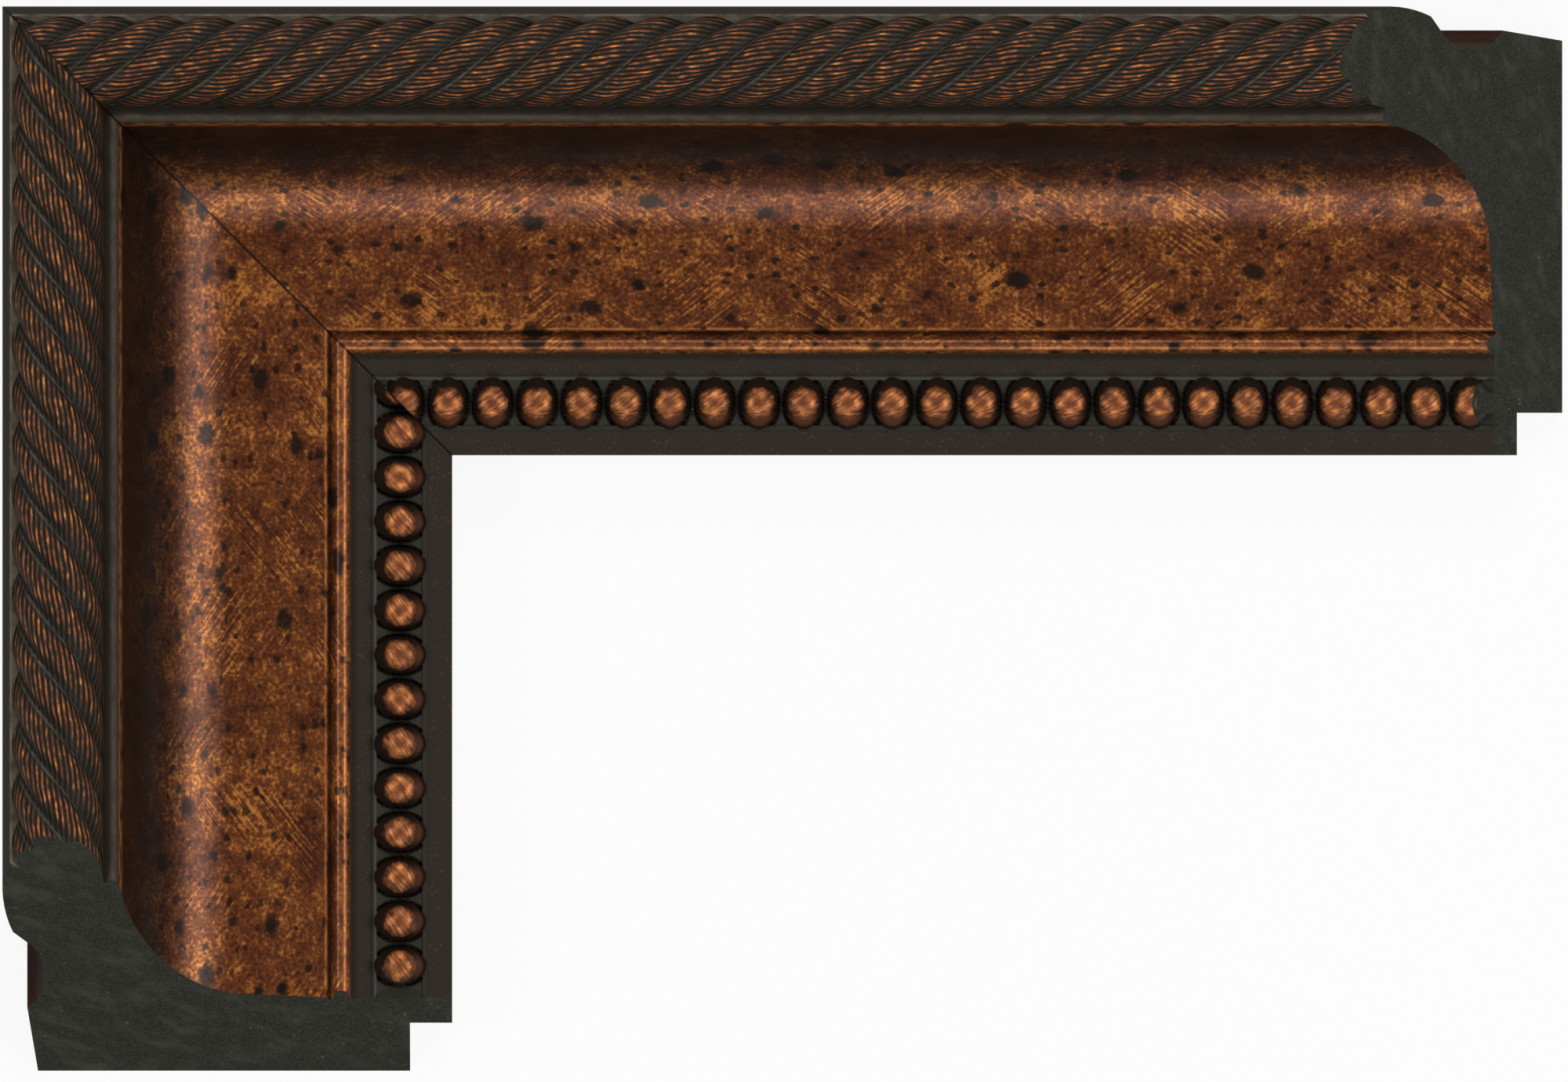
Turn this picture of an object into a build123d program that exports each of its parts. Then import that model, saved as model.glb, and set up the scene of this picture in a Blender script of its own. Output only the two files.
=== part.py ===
"""Corner sample of a picture frame moulding: two lengths of the same stock, mitred and glued.

The sample lies on its back. The long rail runs along +X, the short rail along -Y, and their
outside corner is at the back left. The far end of each rail is sawn on a slope, so that the
section of the moulding shows from above. The origin is under the middle of the footprint.

A place across the moulding is an inset from its outside edge, and a height is above its back.
"""

import os
from math import ceil, cos, floor, radians, sin, tan

from build123d import *

# Overall sizes, in millimetres
moulding_width = 66.7
moulding_height = 34.9
long_leg = 232.6
short_leg = 158.7
long_end_slope = 44.3
short_end_slope = 45.7

# Outside edge: an inset back, a finger groove and a tapered rim under the rope
back_inset = 4.7
side_inset = 3.3
groove_low = 9.4
groove_high = 19.1
groove_depth = 2.9
shoulder_inset = 1.4
shoulder_height = 20.5
shoulder_bulge = 0.35
rim_height = 26.7
rim_width = 1.1
rim_rise = 3.9

# Rope: twisted strands let into a bed along the top edge
rope_inset = 8.1
rope_radius = 6.9
strand_count = 6
strand_pitch = 7.406
strand_groove = 1.2
strand_crest = 0.2
rope_bed_width = 13.6
rope_bed_height = 29.4

# Step between the rope and the cove, with a narrow ledge on it
step_width = 2.7
step_drop = 2.8
ledge_width = 1.35
ledge_height = 28.1
ledge_fall = 0.5

# Cove: a hollow that runs out into a nearly level panel
cove_width = 16.0
cove_bow = 3.3
panel_height = 10.85
panel_rise = 0.65
panel_width = 14.4

# Small round along the inner edge of the panel, with a quirk on each side
quirk_width = 0.9
quirk_depth = 0.6
round_width = 2.6
round_rise = 1.0

# Bead course: a level band, a fine fillet, then beads in a shallow channel
band_height = 10.6
fillet_inset = 54.8
fillet_width = 0.8
fillet_rise = 0.3
sight_height = 10.85
bead_inset = 58.95
bead_pitch = 6.628
bead_across = 7.8
bead_along = 5.9
bead_cap = 4.5
bead_top = 2.2
bead_shoulder = 2.1
bead_rise = 2.9
bead_root = 1.0
bead_sides = 8

# Rabbet for the glass and the picture, under the sight edge
rabbet_width = 6.35
rabbet_depth = 7.1

# Where the pattern falls on each rail, measured from the outside corner
long_rope_phase = 3.94
short_rope_phase = 3.7
long_bead_phase = 59.3
short_bead_phase = 56.7

# The outside corner, and the two ways that the stock runs from it
corner = Vector(-long_leg / 2, short_leg / 2, 0)
long_stock = Plane(origin=corner, x_dir=(0, 1, 0), z_dir=(1, 0, 0))
short_stock = Plane(origin=corner, x_dir=(-1, 0, 0), z_dir=(0, 1, 0))


def at(inset, height):
    """A point of the section: inset from the outside edge, height above the back."""
    return (-inset, height)


def moulding_section(plane):
    """The section of the moulding, without its rope and beads."""
    rim_top = at(rim_width, rim_height + rim_rise)
    bed_start = rope_inset - rope_bed_width / 2
    bed_end = rope_inset + rope_bed_width / 2
    step_end = bed_end + step_width
    ledge_end = step_end - ledge_fall / 2
    cove_top = rope_bed_height - step_drop
    cove_end = step_end + cove_width
    cove_foot = panel_height + panel_rise
    panel_end = cove_end + panel_width
    round_start = panel_end + quirk_width
    round_end = round_start + round_width
    rabbet_inset = moulding_width - rabbet_width
    groove_middle = (groove_low + groove_high) / 2
    fillet_top = band_height + fillet_rise
    bead_bed_start = fillet_inset + fillet_width
    bead_bed_end = 2 * bead_inset - bead_bed_start
    with BuildSketch(plane) as section:
        with BuildLine():
            Line(at(back_inset, 0), at(side_inset, groove_low))
            ThreePointArc(
                at(side_inset, groove_low),
                at(side_inset + groove_depth, groove_middle),
                at(side_inset, groove_high),
            )
            Line(at(side_inset, groove_high), at(shoulder_inset, shoulder_height))
            ThreePointArc(
                at(shoulder_inset, shoulder_height),
                at(shoulder_inset / 2 - shoulder_bulge, (shoulder_height + rim_height) / 2),
                at(0, rim_height),
            )
            Polyline(
                at(0, rim_height),
                rim_top,
                at(bed_start, rope_bed_height),
                at(bed_end, rope_bed_height),
                at(ledge_end - ledge_width, ledge_height),
                at(ledge_end, ledge_height - ledge_fall),
                at(step_end, cove_top),
            )
            SagittaArc(at(step_end, cove_top), at(cove_end, cove_foot), cove_bow)
            Polyline(
                at(cove_end, cove_foot),
                at(panel_end, panel_height),
                at(panel_end + quirk_width / 2, panel_height - quirk_depth),
                at(round_start, panel_height),
            )
            ThreePointArc(
                at(round_start, panel_height),
                at(round_start + round_width / 2, panel_height + round_rise),
                at(round_end, panel_height),
            )
            Polyline(
                at(round_end, panel_height),
                at(round_end + quirk_width / 2, band_height),
                at(fillet_inset, band_height),
                at(fillet_inset, fillet_top),
                at(bead_bed_start, fillet_top),
                at(bead_bed_start, band_height),
                at(bead_bed_end, band_height),
                at(bead_bed_end, sight_height),
                at(moulding_width, sight_height),
                at(moulding_width, rabbet_depth),
                at(rabbet_inset, rabbet_depth),
                at(rabbet_inset, 0),
                at(back_inset, 0),
            )
        make_face()
    return section.sketch


def rope(plane, start, length, phase):
    """A bar of twisted strands, with a groove on top at the phase along the stock."""
    lead = strand_count * strand_pitch
    spacing = 360 / strand_count
    first_strand = 90 + spacing / 2 + 360 * (phase - start) / lead
    outline = []
    for strand in range(strand_count):
        for turn, depth in ((-0.5, strand_groove), (-strand_crest, 0), (strand_crest, 0)):
            angle = radians(first_strand + (strand + turn) * spacing)
            outline.append(((rope_radius - depth) * cos(angle), (rope_radius - depth) * sin(angle)))
    foot = plane.from_local_coords(Vector(-rope_inset, moulding_height - rope_radius, start))
    with BuildLine() as axis:
        Line(foot, foot + plane.z_dir * length)
    with BuildLine() as guide:
        Helix(
            pitch=lead,
            height=length,
            radius=rope_radius,
            center=foot,
            direction=plane.z_dir,
            lefthand=True,
        )
    with BuildPart() as bar:
        with BuildSketch(Plane(foot, x_dir=plane.x_dir, z_dir=plane.z_dir)):
            with BuildLine():
                Polyline(*outline, close=True)
            make_face()
        sweep(path=axis.edge(), binormal=guide.edge())
    return bar.part


def bead():
    """A bead with steep flanks and a domed cap, from its root up, with a few flats around it."""
    angles = [radians(360 * side / bead_sides) for side in range(bead_sides)]
    levels = (
        (-bead_root, bead_along, bead_across),
        (0, bead_along, bead_across),
        (bead_shoulder, bead_cap, bead_cap),
        (bead_rise, bead_top, bead_top),
    )
    with BuildPart() as dome:
        for level, along, across in levels:
            with BuildSketch(Plane.XY.offset(level)):
                with BuildLine():
                    Polyline(
                        *[(along / 2 * cos(angle), across / 2 * sin(angle)) for angle in angles],
                        close=True,
                    )
                make_face()
        loft(ruled=True)
    return dome.part


def rail(plane, start, length, rope_phase, bead_phase, mitre, end_cut):
    """One length of the moulding, patterned along its whole length and then sawn at both ends."""
    first = ceil((start - bead_phase) / bead_pitch)
    last = floor((start + length - bead_phase) / bead_pitch)
    bead_places = [(bead_phase + bead_pitch * number, 0) for number in range(first, last + 1)]
    bead_row = plane.from_local_coords((-bead_inset, band_height, 0))
    bead_bed = Plane(bead_row, x_dir=plane.z_dir, z_dir=(0, 0, 1))
    dome = bead()
    bar = rope(plane, start, length, rope_phase)
    with BuildPart() as stock:
        extrude(moulding_section(plane.offset(start)), amount=length, dir=plane.z_dir)
        with Locations(bead_bed):
            with Locations(*bead_places):
                add(dome)
        add(bar)
        split(bisect_by=mitre, keep=Keep.TOP)
        split(bisect_by=end_cut, keep=Keep.TOP)
    return stock.part


long_mitre = Plane(origin=corner, x_dir=(1, -1, 0), z_dir=(1, 1, 0))
short_mitre = Plane(origin=corner, x_dir=(1, -1, 0), z_dir=(-1, -1, 0))
long_end = Plane(
    origin=corner + Vector(long_leg, 0, 0),
    x_dir=(0, 1, 0),
    z_dir=(-1, 0, -tan(radians(long_end_slope))),
)
short_end = Plane(
    origin=corner - Vector(0, short_leg, 0),
    x_dir=(1, 0, 0),
    z_dir=(0, 1, -tan(radians(short_end_slope))),
)

long_rail = rail(long_stock, 0, long_leg, long_rope_phase, long_bead_phase, long_mitre, long_end)
short_rail = rail(
    short_stock, -short_leg, short_leg, -short_rope_phase, -short_bead_phase, short_mitre, short_end
)
long_rail.label = "long_rail"
short_rail.label = "short_rail"

os.makedirs("parts", exist_ok=True)
export_step(long_rail, "parts/long_rail.step")
export_step(short_rail, "parts/short_rail.step")
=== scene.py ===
"""Looks of a corner sample of picture frame moulding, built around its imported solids.

Two lengths of one moulding meet at a mitre. Each is a closed skin: the section of the moulding
carried along the rail, with the twisted strands of the rope and the beads raised out of it.
Lengths are in millimetres until a mesh is made, and a place across the moulding is an inset
from its outside edge. A place along a rail is measured from the outside corner.
"""

import logging
from dataclasses import dataclass, field
from enum import Enum

import bpy
import numpy as np
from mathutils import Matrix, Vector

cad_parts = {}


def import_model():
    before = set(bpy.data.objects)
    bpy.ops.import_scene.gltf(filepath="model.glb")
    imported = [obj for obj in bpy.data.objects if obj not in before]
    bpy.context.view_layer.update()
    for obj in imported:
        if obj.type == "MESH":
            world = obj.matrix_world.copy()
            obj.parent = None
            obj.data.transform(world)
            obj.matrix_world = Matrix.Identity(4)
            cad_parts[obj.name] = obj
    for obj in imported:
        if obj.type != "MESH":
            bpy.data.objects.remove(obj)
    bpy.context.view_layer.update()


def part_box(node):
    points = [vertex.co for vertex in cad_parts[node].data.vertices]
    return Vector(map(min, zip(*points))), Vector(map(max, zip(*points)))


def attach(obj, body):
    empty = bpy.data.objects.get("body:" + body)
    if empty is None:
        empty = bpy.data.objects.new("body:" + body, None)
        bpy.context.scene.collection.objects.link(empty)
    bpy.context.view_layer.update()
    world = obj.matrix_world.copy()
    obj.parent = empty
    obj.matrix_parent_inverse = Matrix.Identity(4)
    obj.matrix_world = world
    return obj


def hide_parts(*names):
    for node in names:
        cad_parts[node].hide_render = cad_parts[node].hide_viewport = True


LOG = logging.getLogger("moulding")
MM = 0.001
TINY = 1e-6

# Numbers of the Mix node's sockets for colours, which share their names with others
MIX_SHARE = 0
MIX_FIRST = 6
MIX_SECOND = 7
MIX_RESULT = 2

Socket = bpy.types.NodeSocket
Colour = tuple[float, float, float, float]
Value = Socket | float | tuple[float, ...]
Point = tuple[float, float]


class Zone(Enum):
    """The finishes that lie side by side across the moulding, in material order."""

    BARE_WOOD = 0
    LACQUER = 1
    ROPE = 2
    COPPER = 3
    BEADS = 4
    SAWN_END = 5
    SIDE_STAIN = 6


class Run(Enum):
    """The way that a rail runs from the outside corner, as seen from above."""

    RIGHT = 1
    DOWN = -1


def linear(red: int, green: int, blue: int) -> Colour:
    """Turns a colour written as 0 to 255 display values into a linear one with full alpha.

    Args:
        red: the red value.
        green: the green value.
        blue: the blue value.

    Returns:
        The linear colour.
    """
    shown = np.array([red, green, blue]) / 255
    light = np.where(shown <= 0.04045, shown / 12.92, ((shown + 0.055) / 1.055) ** 2.4)
    return (*light.tolist(), 1.0)


class NodeBench:
    """Places and joins nodes in one material's or one group's tree."""

    def __init__(self, tree: bpy.types.NodeTree) -> None:
        """Takes the tree to work in."""
        self.tree = tree

    def put(self, value: Value, socket: Socket) -> None:
        """Links an output to a socket, or sets the socket to a plain value.

        Args:
            value: another node's output, or a number, a vector or a colour.
            socket: the input that takes it.
        """
        if isinstance(value, Socket):
            self.tree.links.new(value, socket)
        else:
            socket.default_value = value

    def add(
        self, kind: str, inputs: dict[str | int, Value] | None = None, **settings: object
    ) -> bpy.types.Node:
        """Adds a node.

        Args:
            kind: the node's type name without the ShaderNode prefix.
            inputs: socket name or number to a value or to another node's output.
            settings: properties of the node itself.

        Returns:
            The new node.
        """
        node = self.tree.nodes.new("ShaderNode" + kind)
        for name, value in settings.items():
            setattr(node, name, value)
        for name, value in (inputs or {}).items():
            self.put(value, node.inputs[name])
        return node

    def math(self, operation: str, *values: Value) -> Socket:
        """Adds a Math node on one to three numbers or outputs, and returns its output."""
        return self.add("Math", dict(enumerate(values)), operation=operation).outputs[0]

    def times(self, first: Value, second: Value) -> Socket:
        """Multiplies two values."""
        return self.math("MULTIPLY", first, second)

    def plus(self, base: Value, value: Value, share: Value) -> Socket:
        """Adds a share of a value to a base."""
        return self.math("MULTIPLY_ADD", value, share, base)

    def ramp(
        self, value: Value, low: float, high: float, floor: float = 0.0, top: float = 1.0
    ) -> Socket:
        """Eases a value from floor at low to top at high, and returns the output."""
        inputs = {"Value": value, "From Min": low, "From Max": high, "To Min": floor, "To Max": top}
        return self.add("MapRange", inputs, interpolation_type="SMOOTHSTEP").outputs[0]

    def mix(self, share: Value, first: Value, second: Value) -> Socket:
        """Mixes two colours by a share of the second, and returns the colour."""
        inputs = {MIX_SHARE: share, MIX_FIRST: first, MIX_SECOND: second}
        return self.add("Mix", inputs, data_type="RGBA").outputs[MIX_RESULT]

    def attribute(self, name: str) -> Socket:
        """Reads one of the skin's own values."""
        return self.add("Attribute", attribute_name=name).outputs["Fac"]

    def in_mm(self, place: Socket) -> Socket:
        """Turns a place in metres into one in millimetres."""
        return self.add("VectorMath", {0: place, "Scale": 1 / MM}, operation="SCALE").outputs[0]

    def skin_place(self) -> Socket:
        """The place on the skin in millimetres: along the rail, then around the section."""
        return self.in_mm(self.add("UVMap", uv_map="Lay").outputs[0])

    def noise(
        self, place: Socket, scale: float, detail: float = 2.0, roughness: float = 0.5
    ) -> Socket:
        """A noise of the given fineness per millimetre."""
        inputs = {"Vector": place, "Scale": scale, "Detail": detail, "Roughness": roughness}
        return self.add("TexNoise", inputs).outputs[0]

    def streaks(
        self, place: Socket, turn: float, stretch: Point, scale: float = 1.0, **noise: float
    ) -> Socket:
        """A noise on places that are turned and then stretched.

        Args:
            place: the places in millimetres.
            turn: the turn in degrees.
            stretch: how much finer the noise gets along and across the turned direction.
            scale: the fineness per millimetre before the stretch.
            noise: the detail and the roughness of the noise.

        Returns:
            The noise.
        """
        turned = self.add("Mapping", {"Vector": place, "Rotation": (0.0, 0.0, np.radians(turn))})
        drawn = self.add("Mapping", {"Vector": turned.outputs[0], "Scale": (*stretch, 1.0)})
        return self.noise(drawn.outputs[0], scale, **noise)


def new_group(
    name: str, inputs: dict[str, str], outputs: dict[str, str]
) -> tuple[NodeBench, bpy.types.Node, bpy.types.Node]:
    """Starts a shader node group.

    Args:
        name: the group's name.
        inputs: socket names and their types.
        outputs: socket names and their types.

    Returns:
        A bench on the group, its input node and its output node.
    """
    tree = bpy.data.node_groups.new(name, "ShaderNodeTree")
    for way, sockets in (("INPUT", inputs), ("OUTPUT", outputs)):
        for socket, kind in sockets.items():
            tree.interface.new_socket(socket, in_out=way, socket_type=kind)
    return NodeBench(tree), tree.nodes.new("NodeGroupInput"), tree.nodes.new("NodeGroupOutput")


def brush_strokes() -> bpy.types.NodeTree:
    """Leaf mottled by short fine strokes that cross each other on a slant.

    Fine grains, blots and clouds are added up. In some patches strokes that rise are added to
    them and in others strokes that fall, each around a mean of zero.

    Returns:
        The group. Leaf is the soft cover and Flecks the few bright spots, both from 0 to 1.
    """
    bench, given, result = new_group(
        "brush strokes",
        {"Place": "NodeSocketVector"},
        {"Leaf": "NodeSocketFloat", "Flecks": "NodeSocketFloat"},
    )
    place = given.outputs["Place"]
    rising = bench.streaks(place, turn=38.0, stretch=(0.12, 2.6))
    falling = bench.streaks(place, turn=-34.0, stretch=(0.14, 2.4))
    patch = bench.noise(place, scale=0.07)
    broken = bench.noise(place, scale=1.6, detail=4.0, roughness=0.62)
    for strokes, low, high in ((rising, 0.54, 0.68), (falling, 0.46, 0.32)):
        broken = bench.plus(broken, bench.math("SUBTRACT", strokes, 0.5), bench.ramp(patch, low, high))
    blots = bench.noise(place, scale=0.42, detail=3.0, roughness=0.55)
    clouds = bench.noise(place, scale=0.1)
    for softer in (blots, clouds):
        broken = bench.plus(broken, softer, share=0.6)
    bench.put(bench.ramp(broken, low=0.86, high=1.32), result.inputs["Leaf"])
    bench.put(bench.ramp(broken, low=1.13, high=1.4), result.inputs["Flecks"])
    return bench.tree


def fly_specks() -> bpy.types.NodeTree:
    """Soft dark specks spattered at random, each with its own size.

    A speck is the middle of a cell, out to a reach drawn at random for that cell. A noise shakes
    the places first, so that the specks are not round.

    Returns:
        The group. Specks runs from 0 to 1.
    """
    bench, given, result = new_group(
        "fly specks",
        {"Place": "NodeSocketVector", "Fineness": "NodeSocketFloat"},
        {"Specks": "NodeSocketFloat"},
    )
    place = given.outputs["Place"]
    wobble = bench.add("TexNoise", {"Vector": place, "Scale": 1.1})
    shift = {0: wobble.outputs["Color"], 1: (1.4, 1.0, 0.0), 2: place}
    shifted = bench.add("VectorMath", shift, operation="MULTIPLY_ADD")
    squat = bench.add("Mapping", {"Vector": shifted.outputs[0], "Scale": (0.7, 1.0, 1.0)})
    scatter = {"Vector": squat.outputs[0], "Scale": given.outputs["Fineness"]}
    cells = bench.add("TexVoronoi", scatter, voronoi_dimensions="2D")
    chance = bench.add("SeparateColor", {0: cells.outputs["Color"]})
    reach = bench.ramp(chance.outputs[0], low=0.15, high=1.0, top=0.27)
    inside = bench.math("SUBTRACT", reach, cells.outputs["Distance"])
    bench.put(bench.ramp(inside, low=-0.02, high=0.13), result.inputs["Specks"])
    return bench.tree


def mitre_line() -> bpy.types.NodeTree:
    """A fine dark line along the mitre, from the distance to it in millimetres.

    Returns:
        The group. Closed is the colour with the line drawn in.
    """
    bench, given, result = new_group(
        "mitre line",
        {"Colour": "NodeSocketColor", "Distance": "NodeSocketFloat"},
        {"Closed": "NodeSocketColor"},
    )
    line = bench.ramp(given.outputs["Distance"], low=0.14, high=0.32, floor=0.9, top=0.0)
    closed = bench.mix(line, given.outputs["Colour"], linear(22, 18, 15))
    bench.put(closed, result.inputs["Closed"])
    return bench.tree


class SharedEffects:
    """The node groups that several finishes use, each built once."""

    def __init__(self) -> None:
        """Builds the groups."""
        self.strokes = brush_strokes()
        self.specks = fly_specks()
        self.mitre = mitre_line()

    def close_mitre(self, bench: NodeBench, colour: Socket) -> Socket:
        """Draws the mitre's line into a colour and returns it."""
        inputs = {"Colour": colour, "Distance": bench.attribute("from_mitre")}
        return bench.add("Group", inputs, node_tree=self.mitre).outputs[0]

    def place_strokes(self, bench: NodeBench, place: Socket) -> tuple[Socket, Socket]:
        """Puts the brush strokes into a material and returns the leaf and its flecks."""
        group = bench.add("Group", {"Place": place}, node_tree=self.strokes)
        return group.outputs["Leaf"], group.outputs["Flecks"]

    def place_specks(self, bench: NodeBench, place: Socket, fineness: float) -> Socket:
        """Puts the fly specks into a material and returns their mask."""
        inputs = {"Place": place, "Fineness": fineness}
        return bench.add("Group", inputs, node_tree=self.specks).outputs[0]


def new_material(name: str) -> tuple[bpy.types.Material, NodeBench, bpy.types.Node]:
    """Starts a material.

    Args:
        name: the material's name.

    Returns:
        The material, a bench on its nodes and its shader.
    """
    material = bpy.data.materials.new(name)
    material.use_nodes = True
    return material, NodeBench(material.node_tree), material.node_tree.nodes["Principled BSDF"]


@dataclass(frozen=True)
class Finish:
    """What all finishes have: the name and the shine of the material."""

    name: str = "finish"
    roughness: float = 0.5
    gloss: float = 0.5
    metal: float = 0.0

    def material(self, effects: SharedEffects) -> bpy.types.Material:
        """Makes the material.

        Args:
            effects: the shared node groups.

        Returns:
            The material.
        """
        material, bench, shader = new_material(self.name)
        shine = {"Roughness": self.roughness, "Specular IOR Level": self.gloss, "Metallic": self.metal}
        for socket, value in (shine | self.pattern(bench, effects)).items():
            bench.put(value, shader.inputs[socket])
        return material

    def pattern(self, bench: NodeBench, effects: SharedEffects) -> dict[str, Socket]:
        """Builds what changes over the surface, and returns it by the shader's socket names."""
        raise NotImplementedError


@dataclass(frozen=True)
class BareWood(Finish):
    """Unfinished softwood on the back and in the rabbet."""

    name: str = "bare wood"
    roughness: float = 0.75
    pale: Colour = linear(196, 160, 116)
    grain: Colour = linear(160, 118, 76)

    def pattern(self, bench: NodeBench, effects: SharedEffects) -> dict[str, Socket]:
        """Long streaks of grain along the rail."""
        streaks = bench.streaks(bench.skin_place(), turn=0.0, stretch=(0.03, 1.1), detail=5.0)
        return {"Base Color": bench.mix(bench.ramp(streaks, low=0.4, high=0.66), self.pale, self.grain)}


@dataclass(frozen=True)
class BlackLacquer(Finish):
    """Rubbed black on the rim, the bands and the sight edge, with copper at worn edges, painted shade and
    painted grey highlights.
    """

    name: str = "rubbed black lacquer"
    roughness: float = 0.6
    gloss: float = 0.02
    black: Colour = linear(50, 45, 39)
    brown: Colour = linear(82, 60, 44)
    # grey is the colour of the painted highlight along edges
    grey: Colour = linear(134, 127, 111)
    copper: Colour = linear(124, 74, 42)
    # The colour and the depth of the painted shade
    painted_shade: Colour = linear(33, 28, 23)
    painted_shade_depth: float = 0.85
    scuff_turn: float = 31.0

    def pattern(self, bench: NodeBench, effects: SharedEffects) -> dict[str, Socket]:
        """Clusters of brown scuffs in the black, a painted grey highlight along edges, copper where it is
        worn, and painted shade.

        Args:
            bench: the bench on the material's nodes.
            effects: the shared node groups.

        Returns:
            The colour.
        """
        place = bench.skin_place()
        even = (1.0, 1.0)
        scuffs = bench.streaks(place, self.scuff_turn, even, scale=1.9, detail=4.0, roughness=0.65)
        clusters = bench.streaks(place, self.scuff_turn, even, scale=0.3)
        scuffed = bench.times(
            bench.ramp(scuffs, low=0.52, high=0.68), bench.ramp(clusters, low=0.42, high=0.62)
        )
        colour = bench.mix(scuffed, self.black, self.brown)
        # Painted highlight: grey along the top of the rim and the ledge, broken by a noise
        uneven = bench.streaks(place, turn=0.0, stretch=(0.4, 1.0), detail=4.0)
        uneven = bench.ramp(uneven, low=0.3, high=0.65, floor=0.35)
        colour = bench.mix(bench.times(bench.attribute("glint"), uneven), colour, self.grey)
        breakup = bench.ramp(bench.noise(place, scale=1.6, detail=3.0), low=0.3, high=0.6)
        colour = bench.mix(bench.times(bench.attribute("wear"), breakup), colour, self.copper)
        # Painted shade: the black darkens where the shade attribute is high
        painted_shade = bench.times(bench.attribute("shade"), self.painted_shade_depth)
        colour = bench.mix(painted_shade, colour, self.painted_shade)
        return {"Base Color": effects.close_mitre(bench, colour)}


@dataclass(frozen=True)
class SideStain(Finish):
    """Dark red-brown on the outside edge and in the finger groove."""

    name: str = "red-brown stain"
    gloss: float = 0.1
    brown: Colour = linear(60, 31, 20)
    black: Colour = linear(30, 20, 15)

    def pattern(self, bench: NodeBench, effects: SharedEffects) -> dict[str, Socket]:
        """Long soft streaks of black in the brown."""
        streaks = bench.streaks(bench.skin_place(), turn=0.0, stretch=(0.06, 0.5), detail=4.0)
        return {"Base Color": bench.mix(bench.ramp(streaks, low=0.4, high=0.7), self.brown, self.black)}


@dataclass(frozen=True)
class RopeFinish(Finish):
    """Black strands with fine ribs, whose crests are rubbed back to copper."""

    name: str = "ribbed rope"
    gloss: float = 0.12
    valley: Colour = linear(30, 25, 20)
    dull: Colour = linear(78, 53, 38)
    copper: Colour = linear(176, 102, 52)
    gold: Colour = linear(226, 150, 72)
    # edge is the grey of the painted highlight along each strand's lower edge
    edge: Colour = linear(92, 86, 74)
    grey: Colour = linear(58, 53, 45)
    grey_share: float = 0.7
    rib_pitch: float = 0.78
    rib_lean: float = 0.13
    rib_shake: float = 0.5
    rib_strength: float = 0.5
    rib_height: float = 0.12
    lip_place: float = 0.075

    def pattern(self, bench: NodeBench, effects: SharedEffects) -> dict[str, Socket]:
        """Ribs across the strands.

        The ribs are a wave around the section that leans a little along the rail. The crests
        are copper and gold in the middle of a strand, and a painted highlight, a grey line, runs along its
        lower edge.

        Args:
            bench: the bench on the material's nodes.
            effects: the shared node groups.

        Returns:
            The colour and the relief of the ribs.
        """
        place = bench.skin_place()
        parts = bench.add("SeparateXYZ", {0: place}).outputs
        leaning = bench.plus(parts["Y"], parts["X"], self.rib_lean)
        shaken = bench.plus(leaning, bench.noise(place, scale=0.35), self.rib_shake)
        wave = bench.math("SINE", bench.times(shaken, 2 * np.pi / self.rib_pitch))
        crest = bench.ramp(wave, low=-0.3, high=0.95)
        lay = bench.math("FRACT", bench.attribute("twist"))
        fall = bench.ramp(lay, low=0.66, high=0.9, floor=1.0, top=0.0)
        middle = bench.times(bench.ramp(lay, low=0.13, high=0.26), fall)
        ribbed = bench.times(crest, middle)
        rub = bench.attribute("rub")
        colour = bench.mix(bench.times(crest, self.grey_share), self.valley, self.grey)
        colour = bench.mix(ribbed, colour, self.dull)
        cloud = bench.streaks(place, turn=0.0, stretch=(0.6, 0.9), detail=3.0)
        ribbed_top = bench.times(ribbed, rub)
        for low, high, metal in ((0.4, 0.66, self.copper), (0.58, 0.74, self.gold)):
            colour = bench.mix(bench.times(ribbed_top, bench.ramp(cloud, low, high)), colour, metal)
        # Painted highlight: a broken grey line along the lower edge of each strand
        from_lip = bench.math("ABSOLUTE", bench.math("SUBTRACT", lay, self.lip_place))
        lip = bench.times(bench.ramp(from_lip, low=0.01, high=0.045, floor=0.75, top=0.0), rub)
        scuffs = bench.noise(place, scale=0.8, detail=3.0)
        lip = bench.times(lip, bench.ramp(scuffs, low=0.35, high=0.65, floor=0.25))
        colour = effects.close_mitre(bench, bench.mix(lip, colour, self.edge))
        relief = {"Strength": self.rib_strength, "Distance": self.rib_height * MM}
        bump = bench.add("Bump", {"Height": bench.times(wave, middle), **relief})
        return {"Base Color": colour, "Normal": bump.outputs[0]}


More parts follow.
